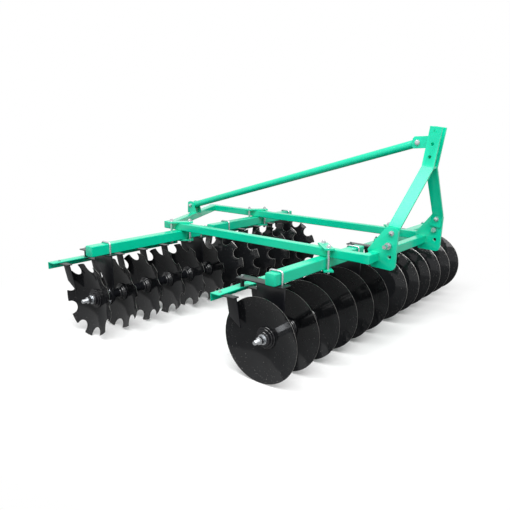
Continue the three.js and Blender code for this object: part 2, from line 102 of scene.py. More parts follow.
DISC_RADIUS = middle("axle_front_right").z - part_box("disc_front_right_1")[0].z
DISC_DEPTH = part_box("disc_front_right_1")[1].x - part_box("disc_front_right_1")[0].x - STEEL
PITCH = (hub_of("front_right", 2) - hub_of("front_right", 1)).length
BEAM_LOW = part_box("gang_beam_front_right")[0].z
BEAM_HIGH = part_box("gang_beam_front_right")[1].z
BEAM_HALF = (BEAM_HIGH - BEAM_LOW) / 2
ROWS = (middle("axle_front_right").y + middle("axle_rear_right").y) / 2  # midway between the rows
HITCH_PIN = middle("hitch_pin_left")
MAST_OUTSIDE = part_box("mast")[1].x
HITCH_PLATE = MAST_OUTSIDE + FIT + 16 * MM  # outer face of the plate beside the mast's foot
MAST_FOOT = Vector((0, HITCH_PIN.y - 11 * MM, HITCH_PIN.z + 70 * MM))
STAY_FRONT = MAST_FOOT + Vector((0, 27 * MM, 475 * MM))
STAY_REAR = Vector((0, ROWS + 907 * MM, BEAM_LOW + 172 * MM))
SCRAPER_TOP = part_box("scraper_bar_front_right")[1].z


# ---- settings a user would change ------------------------------------------------------------


def a_length(name, description, millimetres):
    """A length setting, from its default in millimetres."""
    return FloatProperty(name=name, description=description, default=millimetres * MM, unit="LENGTH")


def an_angle(name, description, degrees):
    """An angle setting, from its default in degrees."""
    turn = math.radians(degrees)
    return FloatProperty(name=name, description=description, default=turn, subtype="ANGLE")


def a_colour(name, description, code):
    """A colour setting, from its default as sRGB hex."""
    linear = from_hex(code)
    return FloatVectorProperty(name=name, description=description, default=linear, subtype="COLOR")


class HarrowDiscs(bpy.types.PropertyGroup):
    flat: a_length("Flat centre", "Radius of the flat centre of a disc", 57)
    eye: a_length("Eye", "Radius of the hole round the square bar", 22)
    bevel: a_length("Bevel", "Width of the bevel on the round side", 9)
    worn: a_length("Worn edge", "Width of bare steel at the cutting edge", 1.2)
    land: a_length("Land", "Thickness left at the cutting edge", 1.4)
    notches: IntProperty(name="Notches", description="Notches in a rear disc", default=9, min=3)
    notch_round: a_length("Notch round", "Radius of the bottom of a notch", 41)
    notch_mouth: a_length("Notch mouth", "Half width of a notch at the rim", 44.5)
    notch_depth: a_length("Notch depth", "Depth of a notch from the rim", 52)
    notch_phase: an_angle("First notch", "Turn of the first notch from straight up", 5.7)
    turn: an_angle("Turn", "Turn from one disc to the next on the square bar", 90)


class HarrowAxles(bpy.types.PropertyGroup):
    tube: a_length("Tube", "Radius of the spool between its ends", 26)
    bell: a_length("Bell", "Radius of the stepped end of a spool", 55)
    end: a_length("End bell", "Radius of the stepped bell under the axle nut", 60)
    flange: a_length("Flange", "Radius of the plain end of a spool", 46)
    nut: a_length("Axle nut", "Radius over the corners of the axle nut", 22)
    clear: a_length("Clearance", "Gap between a disc and what bears on it", 0.5)


class HarrowHangers(bpy.types.PropertyGroup):
    width: a_length("Plate width", "Width of the plate under the beam", 72)
    housing: a_length("Housing", "Radius of the bearing housing's flange", 62)


class HarrowPaint(bpy.types.PropertyGroup):
    green: a_colour("Green", "Enamel of the frame", "04cfa4")
    black: a_colour("Black", "Enamel of the hangers and scrapers", "131418")
    lacquer: a_colour("Lacquer", "Lacquer of the discs", "1b1c1e")
    zinc: a_colour("Zinc", "Plating of the fasteners", "cfd2d5")
    edge: a_colour("Ground edge", "Bare steel at the edge of a disc", "9c9a97")


class HarrowStudio(bpy.types.PropertyGroup):
    place: FloatVectorProperty(
        name="Camera", description="Where the camera stands",
        default=(-3.001, -2.130 + ROWS, 1.254), subtype="XYZ", unit="LENGTH",
    )
    yaw: an_angle("Yaw", "Camera's heading from +Y towards +X", 50.9)
    pitch: an_angle("Pitch", "How far the camera looks down", 14.5)
    roll: an_angle("Roll", "Camera's roll", 0.8)
    lens: FloatProperty(
        name="Lens", description="Focal length", default=37.3, min=10, unit="CAMERA"
    )
    shift: FloatVectorProperty(
        name="Shift", description="Sideways and upward shift of the view", default=(0.009, 0.025), size=2
    )
    sky: FloatProperty(
        name="Sky", description="Strength of the soft light all round", default=0.55, min=0
    )
    rim: FloatProperty(
        name="Rim", description="Power of the lamp on the left", default=105.0, min=0, unit="POWER"
    )
    key: FloatProperty(
        name="Key", description="Power of the lamp behind the camera", default=190.0, min=0, unit="POWER"
    )


# ---- nodes -----------------------------------------------------------------------------------


def add(tree, kind, sockets=None, **settings):
    """Adds a node, with its settings, and fills or links its sockets."""
    node = tree.nodes.new(kind)
    for name, value in settings.items():
        setattr(node, name, value)
    for key, value in (sockets or {}).items():
        if isinstance(value, bpy.types.NodeSocket):
            tree.links.new(value, node.inputs[key])
        else:
            node.inputs[key].default_value = value
    return node


MIX_A, MIX_B, MIX_RESULT = 6, 7, 2  # the colour sockets of a Mix node, whose names repeat


def new_material(name, **sockets):
    """A material with one Principled shader, sockets named with underscores, and Object coordinates."""
    material = bpy.data.materials.new(name)
    material.use_nodes = True
    tree = material.node_tree
    shader = tree.nodes["Principled BSDF"]
    for key, value in sockets.items():
        shader.inputs[key.replace("_", " ").title().replace("Ior", "IOR")].default_value = value
    return material, tree, shader, add(tree, "ShaderNodeTexCoord").outputs["Object"]


def uneven(tree, coords, colour, size, spread):
    """A colour that drifts a little lighter and darker over patches of a size in metres."""
    patches = add(tree, "ShaderNodeTexNoise", {"Vector": coords, "Scale": 1 / size, "Detail": 3.0})
    ramp = add(tree, "ShaderNodeValToRGB", {"Fac": patches.outputs["Fac"]})
    for stop, place, level in zip(ramp.color_ramp.elements, (0.3, 0.7), (1 - spread, 1 + spread)):
        stop.position = place
        stop.color = (*[min(1.0, c * level) for c in colour], 1)
    return ramp.outputs["Color"]


def bumps(tree, coords, size, depth, strength, detail=2.0):
    """A normal raised by noise of a grain size and depth in metres."""
    grain = add(tree, "ShaderNodeTexNoise", {"Vector": coords, "Scale": 1 / size, "Detail": detail})
    height = grain.outputs["Fac"]
    raised = add(tree, "ShaderNodeBump", {"Height": height, "Strength": strength, "Distance": depth})
    return raised.outputs["Normal"]


def enamel(name, colour, roughness):
    """Alkyd enamel sprayed on steel: a wet gloss with a faint orange peel and a slightly uneven coat."""
    material, tree, shader, coords = new_material(
        name, roughness=roughness, specular_ior_level=0.4, coat_weight=0.15, coat_roughness=0.08
    )
    tree.links.new(uneven(tree, coords, colour, 160 * MM, 0.05), shader.inputs["Base Color"])
    # Orange peel is about 2 mm across; it is drawn at twice that so that it shows.
    tree.links.new(bumps(tree, coords, 4 * MM, 0.6 * MM, 0.12), shader.inputs["Normal"])
    return material


def lacquered_disc(colour, bare):
    """Lacquer dipped on rolled boron steel: a deep gloss with faint runs, turning rings and chips."""
    material, tree, shader, coords = new_material(
        "lacquer_on_boron_steel", specular_ior_level=0.2, coat_weight=0.15, coat_roughness=0.03
    )
    radius = add(tree, "ShaderNodeAttribute", attribute_name="radius")
    # Chips in the lacquer gather towards the rim, each a few millimetres across.
    specks = add(tree, "ShaderNodeTexNoise", {"Vector": coords, "Scale": 1 / (5 * MM), "Detail": 1.0})
    limits = {"From Min": 0.6 * DISC_RADIUS, "From Max": DISC_RADIUS, "To Min": 0.0, "To Max": 0.07}
    outer = add(tree, "ShaderNodeMapRange", {"Value": radius.outputs["Fac"], **limits})
    shares = {0: specks.outputs["Fac"], 1: outer.outputs["Result"]}
    raised = add(tree, "ShaderNodeMath", shares, operation="ADD")
    limits = {"Value": raised.outputs[0], "From Min": 0.76, "From Max": 0.79, "To Max": 0.6}
    chips = add(tree, "ShaderNodeMapRange", limits)
    coat = uneven(tree, coords, colour, 90 * MM, 0.16)
    sockets = {"Factor": chips.outputs["Result"], MIX_A: coat, MIX_B: (*bare, 1)}
    mixed = add(tree, "ShaderNodeMix", sockets, data_type="RGBA")
    tree.links.new(mixed.outputs[MIX_RESULT], shader.inputs["Base Color"])
    # Turning rings are under 1 mm apart; they are drawn every 5 mm so that they show.
    turns = {0: radius.outputs["Fac"], 1: math.tau / (5 * MM)}
    rings = add(tree, "ShaderNodeMath", turns, operation="MULTIPLY")
    wave = add(tree, "ShaderNodeMath", {0: rings.outputs[0]}, operation="SINE")
    limits = {"From Min": -1.0, "From Max": 1.0, "To Min": 0.07, "To Max": 0.12}
    level = add(tree, "ShaderNodeMapRange", {"Value": wave.outputs[0], **limits})
    tree.links.new(level.outputs["Result"], shader.inputs["Roughness"])
    tree.links.new(bumps(tree, coords, 45 * MM, 1.2 * MM, 0.05, 3.0), shader.inputs["Normal"])
    return material


def cast_spool(colour):
    """Black enamel over sand-cast iron: a wet gloss over a pebbled skin."""
    material, tree, shader, coords = new_material(
        "black_enamel_on_cast_iron", roughness=0.12, specular_ior_level=0.5, coat_weight=0.4
    )
    tree.links.new(uneven(tree, coords, colour, 30 * MM, 0.2), shader.inputs["Base Color"])
    # Casting sand leaves a grain under 1 mm; it is drawn at 3 mm so that it shows.
    tree.links.new(bumps(tree, coords, 3 * MM, 0.5 * MM, 0.2), shader.inputs["Normal"])
    return material


def zinc_plate(colour):
    """Bright zinc plated steel: a pale metal with a shine that clouds over a few millimetres."""
    material, tree, shader, coords = new_material("bright_zinc_plate", metallic=1.0)
    tree.links.new(uneven(tree, coords, colour, 12 * MM, 0.12), shader.inputs["Base Color"])
    cloud = add(tree, "ShaderNodeTexNoise", {"Vector": coords, "Scale": 1 / (6 * MM)})
    limits = {"Value": cloud.outputs["Fac"], "To Min": 0.16, "To Max": 0.34}
    level = add(tree, "ShaderNodeMapRange", limits)
    tree.links.new(level.outputs["Result"], shader.inputs["Roughness"])
    return material


def ground_steel(colour):
    """Bare steel ground to an edge: a dull shine, a little darker in patches."""
    material, tree, shader, coords = new_material("ground_steel_edge", metallic=1.0, roughness=0.32)
    tree.links.new(uneven(tree, coords, colour, 8 * MM, 0.15), shader.inputs["Base Color"])
    return material


FINISHES = {}


def finish(name):
    """The material of that name, made when it is first asked for."""
    paint = bpy.context.scene.harrow_paint
    makers = {
        "green": lambda: enamel("mint_enamel_on_steel", paint.green, 0.22),
        "black": lambda: enamel("black_enamel_on_steel", paint.black, 0.34),
        "lacquer": lambda: lacquered_disc(paint.lacquer, paint.edge),
        "cast": lambda: cast_spool(paint.black),
        "zinc": lambda: zinc_plate(paint.zinc),
        "edge": lambda: ground_steel(paint.edge),
    }
    if name not in FINISHES:
        FINISHES[name] = makers[name]()
    return FINISHES[name]


# ---- meshes ----------------------------------------------------------------------------------


def show(name, data):
    """A new object in the scene that holds a mesh, a lamp or a camera."""
    made = bpy.data.objects.new(name, data)
    bpy.context.scene.collection.objects.link(made)
    return made


def place_mesh(name, bm, materials=(), sharp=32):
    """Turns a bmesh into an object at the origin, smooth but for edges sharper than an angle."""
    mesh = bpy.data.meshes.new(name)
    bm.to_mesh(mesh)
    bm.free()
    for material in materials:
        mesh.materials.append(material)
    mesh.shade_smooth()
    mesh.set_sharp_from_angle(angle=math.radians(sharp))
    return show(name, mesh)


def walls(bm, one, other):
    """Four-sided faces from one ring of corners to the next."""
    faces = []
    for i in range(len(one)):
        j = (i + 1) % len(one)
        faces.append(bm.faces.new((one[i], one[j], other[j], other[i])))
    return faces


def skin(bm, rings):
    """Walls from each ring of corners to the next, and a face over both ends."""
    for one, other in zip(rings, rings[1:]):
        walls(bm, one, other)
    bm.faces.new(rings[0])
    bm.faces.new(rings[-1])


def prism(bm, outline, x0, x1):
    """A flat plate in YZ between two X, from its outline in metres."""
    skin(bm, [[bm.verts.new((x, y, z)) for y, z in outline] for x in (x0, x1)])


def revolve(bm, profile, segments, matrix=Matrix.Identity(4), loop=False):
    """Turns (radius, height) rows about Z. A loop closes on itself, else it ends on the axis."""
    rings = []
    for radius, height in profile:
        ring = []
        for i in range(segments):
            a = math.tau * i / segments
            spot = Vector((radius * math.cos(a), radius * math.sin(a), height))
            ring.append(bm.verts.new(matrix @ spot))
        rings.append(ring)
    pairs = list(zip(rings, rings[1:]))
    if loop:
        pairs.append((rings[-1], rings[0]))
    for one, other in pairs:
        walls(bm, one, other)


def clean(bm):
    """Merges doubled corners and points the faces outwards."""
    bmesh.ops.remove_doubles(bm, verts=bm.verts, dist=1e-6)
    bmesh.ops.recalc_face_normals(bm, faces=bm.faces)


def along_x(side, x=0.0):
    """The placement that lays what is turned about Z along X, from x on and looking along side."""
    turn = Matrix.Rotation(math.pi / 2, 4, "Y")
    return Matrix.Translation((x, 0, 0)) @ Matrix.Scale(side, 4, (1, 0, 0)) @ turn


def break_edges(bm, width):
    """Rounds every edge of plain plates a little."""
    bmesh.ops.recalc_face_normals(bm, faces=bm.faces)
    bmesh.ops.bevel(
        bm, geom=bm.edges[:], offset=width, segments=2, affect="EDGES", profile=0.6, clamp_overlap=True
    )


# ---- geometry nodes --------------------------------------------------------------------------


def new_tree(name, sockets):
    """A geometry tree with a geometry in and out and the named inputs."""
    tree = bpy.data.node_groups.new(name, "GeometryNodeTree")
    tree.interface.new_socket("Geometry", in_out="OUTPUT", socket_type="NodeSocketGeometry")
    tree.interface.new_socket("Geometry", in_out="INPUT", socket_type="NodeSocketGeometry")
    for label, kind in sockets.items():
        tree.interface.new_socket(label, in_out="INPUT", socket_type="NodeSocket" + kind)
    return tree, add(tree, "NodeGroupInput").outputs


def end_tree(tree, instances, material, edge=None):
    """Realises the copies and gives them their finish, and their ground faces another."""
    real = add(tree, "GeometryNodeRealizeInstances", {"Geometry": instances})
    last = add(tree, "GeometryNodeSetMaterial", {"Geometry": real.outputs[0], "Material": material})
    if edge is not None:
        ground = add(tree, "GeometryNodeInputNamedAttribute", {"Name": "ground"}, data_type="BOOLEAN")
        last = add(
            tree,
            "GeometryNodeSetMaterial",
            {"Geometry": last.outputs[0], "Selection": ground.outputs["Attribute"], "Material": edge},
        )
    add(tree, "NodeGroupOutput", {"Geometry": last.outputs[0]})
    return tree


def row_tree():
    """Copies of a piece in a straight row."""
    sockets = {"Count": "Int", "Start": "Vector", "Step": "Vector", "Turn": "Float"}
    sockets.update({"Finish": "Material", "Edge finish": "Material"})
    tree, given = new_tree("Row along an axle", sockets)
    line = add(
        tree,
        "GeometryNodeMeshLine",
        {"Count": given["Count"], "Start Location": given["Start"], "Offset": given["Step"]},
    )
    index = add(tree, "GeometryNodeInputIndex")
    angle = add(tree, "ShaderNodeMath", {0: index.outputs[0], 1: given["Turn"]}, operation="MULTIPLY")
    turn = add(tree, "ShaderNodeCombineXYZ", {"X": angle.outputs[0]})
    copies = add(
        tree,
        "GeometryNodeInstanceOnPoints",
        {"Points": line.outputs[0], "Instance": given["Geometry"], "Rotation": turn.outputs[0]},
    )
    return end_tree(tree, copies.outputs[0], given["Finish"], given["Edge finish"])


def scatter_tree():
    """Copies of a piece on points, each with its Z along the point's own axis."""
    tree, given = new_tree("Pieces on points", {"Piece": "Object", "Finish": "Material"})
    axis = add(tree, "GeometryNodeInputNamedAttribute", {"Name": "axis"}, data_type="FLOAT_VECTOR")
    aim = add(tree, "FunctionNodeAlignRotationToVector", {"Vector": axis.outputs["Attribute"]}, axis="Z")
    piece = add(tree, "GeometryNodeObjectInfo", {"Object": given["Piece"]})
    copies = add(
        tree,
        "GeometryNodeInstanceOnPoints",
        {"Points": given["Geometry"], "Instance": piece.outputs["Geometry"], "Rotation": aim.outputs[0]},
    )
    return end_tree(tree, copies.outputs[0], given["Finish"])


TREES = {"row": row_tree, "scatter": scatter_tree}


def grow(made, kind, **given):
    """Runs a tree on an object and keeps the result as its plain mesh."""
    tree = bpy.data.node_groups.get(kind) or TREES[kind]()
    tree.name = kind
    modifier = made.modifiers.new(kind, "NODES")
    modifier.node_group = tree
    for item in tree.interface.items_tree:
        key = item.name.replace(" ", "_").lower()
        if item.in_out == "INPUT" and key in given:
            modifier[item.identifier] = given[key]
    return bake(made)


def bake(made):
    """Replaces an object's mesh with what its modifiers make of it."""
    view = bpy.context.evaluated_depsgraph_get()
    result = bpy.data.meshes.new_from_object(
        made.evaluated_get(view), preserve_all_data_layers=True, depsgraph=view
    )
    made.modifiers.clear()
    old = made.data
    made.data = result
    if isinstance(old, bpy.types.Mesh):
        bpy.data.meshes.remove(old)
    return made


def join(name, pieces):
    """Joins objects into one and names it."""
    first = pieces[0]
    with bpy.context.temp_override(active_object=first, selected_editable_objects=pieces):
        bpy.ops.object.join()
    first.name = name
    return first


def scatter(name, piece, points, material):
    """One mesh of copies of a piece at (place, axis) points."""
    mesh = bpy.data.meshes.new(name)
    mesh.from_pydata([tuple(p) for p, _ in points], [], [])
    axes = mesh.attributes.new("axis", "FLOAT_VECTOR", "POINT")
    axes.data.foreach_set("vector", [c for _, axis in points for c in axis])
    return grow(show(name, mesh), "scatter", piece=piece, finish=finish(material))


# ---- discs -----------------------------------------------------------------------------------


def disc_rim(sizes, notched):
    """The outline of a disc as (y, z) points, starting at the first notch or straight up."""
    if not notched:
        corners = 108
        turns = [math.tau * i / corners for i in range(corners)]
        return [(-DISC_RADIUS * math.sin(a), DISC_RADIUS * math.cos(a)) for a in turns]
    mouth, hollow = sizes.notch_mouth, sizes.notch_round
    lip = math.sqrt(DISC_RADIUS**2 - mouth**2)
    centre = DISC_RADIUS - sizes.notch_depth + hollow
    period = math.tau / sizes.notches
    bottom = 12  # faces round the bottom of a notch
    tooth = 7  # faces over the rim between two notches
    notch = [(mouth, lip)]
    for i in range(bottom + 1):
        a = -math.pi * i / bottom
        notch.append((hollow * math.cos(a), centre + hollow * math.sin(a)))
    notch.append((-mouth, lip))
    half = math.asin(mouth / DISC_RADIUS)
    for i in range(1, tooth):
        a = half + (period - 2 * half) * i / tooth
        notch.append((-DISC_RADIUS * math.sin(a), DISC_RADIUS * math.cos(a)))
    rim = []
    for k in range(sizes.notches):
        a = sizes.notch_phase + k * period
        sine, cosine = math.sin(a), math.cos(a)
        rim += [(y * cosine - z * sine, y * sine + z * cosine) for y, z in notch]
    return rim


def inset(rim, width):
    """The rim's outline moved inwards."""
    moved = []
    for i, (y, z) in enumerate(rim):
        before, after = Vector(rim[i - 1]), Vector(rim[(i + 1) % len(rim)])
        along = (after - before).normalized()
        moved.append((y - along.y * width, z + along.x * width))
    return moved


def disc(name, side, notched):
    """One dished disc about the origin, its hollow face looking along side."""
    sizes = bpy.context.scene.harrow_discs
    rim = disc_rim(sizes, notched)
    rise = DISC_DEPTH / (DISC_RADIUS**2 - sizes.flat**2)
    half = STEEL / 2
    shoulder, worn = inset(rim, sizes.bevel), inset(rim, sizes.worn)
    count = len(rim)
    start = sizes.notch_phase - math.asin(sizes.notch_mouth / DISC_RADIUS) if notched else 0
    spread = [start + math.tau * i / count for i in range(count)]

    def ring(radius):
        return [(-radius * math.sin(a), radius * math.cos(a)) for a in spread]

    def between(one, other, share):
        return [(a + (c - a) * share, b + (d - b) * share) for (a, b), (c, d) in zip(one, other)]

    # Rings of corners follow the dish out to a knee inside the notches.
    knee = DISC_RADIUS - sizes.notch_depth - 20 * MM
    loops = [ring(radius) for radius in (sizes.eye, sizes.flat * 0.99, 80 * MM, 110 * MM, knee)]
    loops += [between(loops[-1], shoulder, 0.4), shoulder]
    bm = bmesh.new()
    ground = bm.faces.layers.bool.new("ground")
    far = bm.verts.layers.float.new("radius")

    def lay(points, offset):
        made = []
        for y, z in points:
            radius = math.hypot(y, z)
            depth = rise * max(0.0, radius**2 - sizes.flat**2)
            vert = bm.verts.new((side * (depth + offset), y, z))
            vert[far] = radius
            made.append(vert)
        return made

    thin = half - sizes.land
    part_way = thin - (half + thin) * sizes.worn / sizes.bevel
    crown = [lay(points, -half) for points in loops] + [lay(worn, part_way), lay(rim, thin)]
    hollow = [lay(points, half) for points in loops] + [lay(worn, half), lay(rim, half)]
    rows = [*crown, *reversed(hollow)]
    # The faces from the worn edge on one side, over the rim, to that on the other are bare steel.
    for n, (one, other) in enumerate(zip(rows, [*rows[1:], rows[0]])):
        for face in walls(bm, one, other):
            face[ground] = len(crown) - 2 <= n <= len(crown)
    bmesh.ops.recalc_face_normals(bm, faces=bm.faces)
    return place_mesh(name, bm, sharp=22)


class HARROW_OT_discs(bpy.types.Operator):
    """Builds the plain and notched discs of each gang"""

    bl_idname = "harrow.discs"
    bl_label = "Discs"

    def execute(self, context):
        for gang in GANGS:
            side = side_of(gang)
            made = disc(f"discs_{gang}", side, gang.startswith("rear"))
            grow(
                made,
                "row",
                count=DISCS,
                start=list(hub_of(gang, 1)),
                step=[-side * PITCH, 0.0, 0.0],
                turn=context.scene.harrow_discs.turn,
                finish=finish("lacquer"),
                edge_finish=finish("edge"),
            )
            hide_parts(*[f"disc_{gang}_{k + 1}" for k in range(DISCS)])
            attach(made, f"gang_{gang}")
        return {"FINISHED"}


# ---- axles -----------------------------------------------------------------------------------


def bell_rows(sizes):
    """The stepped bell on the hollow face of a disc, from its bearing face outwards."""
    steps = [(0, 0), (0, 7), (3, 10), (6, 10.5), (7, 13), (10, 16), (13, 16.5)]
    steps += [(14, 19), (17, 23), (20, 23.5)]
    rows = [(sizes.bell - down * MM, height * MM) for down, height in steps]
    return [*rows, (sizes.tube + 3 * MM, 28 * MM), (sizes.tube, 34 * MM)]


def spool(name, sizes):
    """One spool along X: plain flange at 0, stepped bell at the far end."""
    length = PITCH - STEEL - 2 * sizes.clear
    flange, tube = sizes.flange, sizes.tube
    near = [(AXLE_BORE, 0), (flange, 0), (flange, 6 * MM), (flange - 2 * MM, 8 * MM)]
    near += [(tube + 8 * MM, 14 * MM), (tube + 2 * MM, 22 * MM), (tube, 30 * MM)]
    far = [(radius, length - height) for radius, height in reversed(bell_rows(sizes))]
    bm = bmesh.new()
    revolve(bm, [*near, *far, (AXLE_BORE, length)], 48, along_x(1), loop=True)
    clean(bm)
    return place_mesh(name, bm)


def first_face(sizes):
    """How far outside the first hub the end bell starts."""
    return STEEL / 2 + sizes.clear


def last_face(sizes):
    """How far inside the first hub the plain washer behind the last disc starts."""
    return (DISCS - 1) * PITCH + first_face(sizes)


def axle_ends(name, side, sizes):
    """The bell on the first disc's hollow face and the plain washer on the last disc's round face."""
    bm = bmesh.new()
    steps = ((0, 0), (0, 6), (2, 8), (9, 8.5), (9, 15), (11, 17), (20, 17.5), (20, 27), (23, 30))
    bell = [(sizes.end - down * MM, height * MM) for down, height in steps]
    bell = [(AXLE_BORE, 0), *bell, (AXLE_BORE, END_BELL)]
    revolve(bm, bell, 48, along_x(side, side * first_face(sizes)), loop=True)
    washer = [(AXLE_BORE, 0), (sizes.flange, 0), (sizes.flange, 4 * MM)]
    washer += [(sizes.flange - 4 * MM, END_WASHER), (AXLE_BORE, END_WASHER)]
    revolve(bm, washer, 48, along_x(-side, -side * last_face(sizes)), loop=True)
    clean(bm)
    return place_mesh(name, bm)


def hex_rows(radius, height):
    """A nut's outline: two chamfered faces."""
    lean = 0.09 * radius
    rows = [(0, 0), (radius - lean, 0), (radius, lean / 2), (radius, height - lean / 2)]
    return [*rows, (radius - lean, height), (0, height)]


def thread_rows(radius, start, end, pitch):
    """A threaded end with a chamfered tip, its grooves one pitch apart."""
    groove = radius - 0.6 * pitch
    rows = [(0, start)]
    for i in range(int((end - start - pitch) / pitch)):
        rows += [(radius, start + i * pitch), (groove, start + (i + 0.5) * pitch)]
    return [*rows, (radius, end - pitch), (groove, end), (0, end)]


def axle_nuts(name, side, sizes):
    """Zinc washers, nut and threaded end outside the first disc, and the head behind the last."""
    bm = bmesh.new()
    out = first_face(sizes) + END_BELL
    tip = abs(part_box("axle_front_right")[0].x - hub_of("front_right", 1).x)
    thick, height = 4 * MM, 24 * MM  # of each washer and of the nut
    for start, radius in ((out, 28 * MM), (out + thick, 24 * MM)):
        washer = [(0, start), (radius, start), (radius, start + thick), (0, start + thick)]
        revolve(bm, washer, 36, along_x(side))
    revolve(bm, hex_rows(sizes.nut, height), 6, along_x(side, side * (out + 2 * thick)))
    in_nut = out + 2 * thick + height - 2 * MM  # the thread starts inside the nut
    revolve(bm, thread_rows(12.5 * MM, in_nut, tip, 3 * MM), 24, along_x(side))
    head = along_x(-side, -side * (last_face(sizes) + END_WASHER))
    revolve(bm, hex_rows(sizes.nut, 19 * MM), 6, head)
    clean(bm)
    return place_mesh(name, bm, [finish("zinc")])


class HARROW_OT_axles(bpy.types.Operator):
    """Builds the spools, end washers, nuts and threads of each gang"""

    bl_idname = "harrow.axles"
    bl_label = "Axles"

    def execute(self, context):
        sizes = context.scene.harrow_axles
        for gang in GANGS:
            side = side_of(gang)
            hub = hub_of(gang, 1)
            spools = spool(f"spools_{gang}", sizes)
            if side > 0:
                spools.data.transform(Matrix.Rotation(math.pi, 4, "Z"))
            # A spool's plain flange bears on the round side of the disc further out.
            first = hub - Vector((side * first_face(sizes), 0, 0))
            step = [-side * PITCH, 0.0, 0.0]
            grow(spools, "row", count=DISCS - 1, start=list(first), step=step, finish=finish("cast"))
            ends = axle_ends(f"end_bells_{gang}", side, sizes)
            ends.data.transform(Matrix.Translation(hub))
            ends.data.materials.append(finish("cast"))
            nuts = axle_nuts(f"axle_nuts_{gang}", side, sizes)
            nuts.data.transform(Matrix.Translation(hub))
            body = join(f"spools_{gang}", [spools, ends])
            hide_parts(f"axle_{gang}")
            for piece, slot in ((body, "black_paint"), (nuts, "zinc")):
                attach(piece, f"gang_{gang}")
        return {"FINISHED"}


# ---- painted steelwork -----------------------------------------------------------------------


def dressed_copy(name, nodes, width, bolts=()):
    """A green copy of CAD nodes with broken edges, and zinc where it lies round an upright bolt."""
    bm = bmesh.new()
    for node in nodes:
        bm.from_mesh(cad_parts[node].data)
    bmesh.ops.remove_doubles(bm, verts=bm.verts, dist=0.02 * MM)
    for face in bm.faces:
        centre = Vector(face.calc_center_median().xy)
        face.material_index = int(any((centre - bolt).length < 14.5 * MM for bolt in bolts))
    shortest, dullest = 7 * MM, math.radians(50)  # of the edges that are broken
    weight = bm.edges.layers.float.new("bevel_weight_edge")
    for edge in bm.edges:
        if len(edge.link_faces) == 2 and edge.calc_length() > shortest:
            edge[weight] = float(edge.calc_face_angle(0) > dullest)
    made = place_mesh(name, bm, [finish("green"), finish("zinc")] if bolts else [finish("green")])
    edges = made.modifiers.new("Broken edges", "BEVEL")
    edges.width = width
    edges.segments = 2
    edges.limit_method = "WEIGHT"
    edges.use_clamp_overlap = False
    bake(made)
    made.data.set_sharp_from_angle(angle=math.radians(21))
    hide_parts(*nodes)
    return made


def hanger_place(gang, number):
    """Where the plane of a hanger's U-bolt meets the axle, at the height of the beam's underside."""
    low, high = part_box(f"hanger_{gang}_{number}")
    return Vector(((low.x + high.x) / 2, middle(f"axle_{gang}").y, BEAM_LOW))


def hanger(name, side):
    """A hanger about its U-bolt's plane and the axle: plate, flat leg, bearing housing and spacer."""
    sizes = bpy.context.scene.harrow_hangers
    top, under = -FIT, -FIT - HANGER_WALL
    front, rear = -69 * MM, 240 * MM
    plate = [(front, under), (front, top), (rear, top), (rear, under)]
    axle = middle("axle_front_right").z - BEAM_LOW
    into = under + 1 * MM  # the leg starts inside the plate
    seat = 45 * MM  # the leg stops round the housing's bore
    turns = [math.pi * i / 6 for i in range(4)]
    # The leg's rear edge: distance behind the axle, and share of the leg's height.
    knees = ((13, 0.315), (60, 0.554), (109, 0.694), (119, 0.933))
    leg = [(-sizes.housing, into), (-sizes.housing, axle)]
    leg += [(-seat * math.cos(a), axle + seat * math.sin(a)) for a in turns]
    leg += [(back * MM, axle + up * (under - axle)) for back, up in knees]
    leg.append((119 * MM, into))
    bm = bmesh.new()
    prism(bm, plate, -sizes.width / 2, sizes.width / 2)
    prism(bm, leg, side * 2 * MM, side * 12 * MM)
    break_edges(bm, 0.9 * MM)
    foot, spacer = SCRAPER_TOP + FIT - BEAM_LOW, 11 * MM
    rows = [(0, foot), (spacer, foot), (spacer, under), (0, under)]
    revolve(bm, rows, 24, Matrix.Translation((0, SPACER_BACK, 0)))
    outer, bore = sizes.housing, 27 * MM
    rows = [(bore, -22), (40 * MM, -22), (43 * MM, -19), (outer - 10 * MM, -14), (outer - 8 * MM, -2)]
    rows += [(outer - 2 * MM, 2), (outer, 4), (outer, 19), (outer - 2 * MM, 21), (46 * MM, 21)]
    rows += [(41 * MM, 26), (34 * MM, 26), (33 * MM, 24), (bore, 24)]
    turned = Matrix.Translation((0, 0, axle)) @ along_x(side)
    revolve(bm, [(radius, height * MM) for radius, height in rows], 40, turned, loop=True)
    clean(bm)
    return place_mesh(name, bm, sharp=35)


class HARROW_OT_hangers(bpy.types.Operator):
    """Builds the two hangers of each gang with their bearing housings"""

    bl_idname = "harrow.hangers"
    bl_label = "Hangers"

    def execute(self, context):
        for gang in GANGS:
            side = side_of(gang)
            step = [-side * PITCH * HANGER_STEP, 0.0, 0.0]
            made = hanger(f"hangers_{gang}", side)
            start = list(hanger_place(gang, 1))
            grow(made, "row", count=HANGERS, start=start, step=step, turn=0.0, finish=finish("black"))
            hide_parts(*[f"hanger_{gang}_{k + 1}" for k in range(HANGERS)])
            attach(made, "frame")
        return {"FINISHED"}


def clamp_bolts(gang):
    """The two bolt axes of a clamp, as points in plan."""
    low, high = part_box(f"clamp_{gang}")
    centre = (low + high) / 2
    reach = 64 * MM / math.sqrt(2)  # the bolts stand 64 mm from the crossing, on a diagonal
    lean = 1 if gang.startswith("front") else -1
    return [Vector((centre.x + s * reach, centre.y + s * lean * reach)) for s in (-1, 1)]


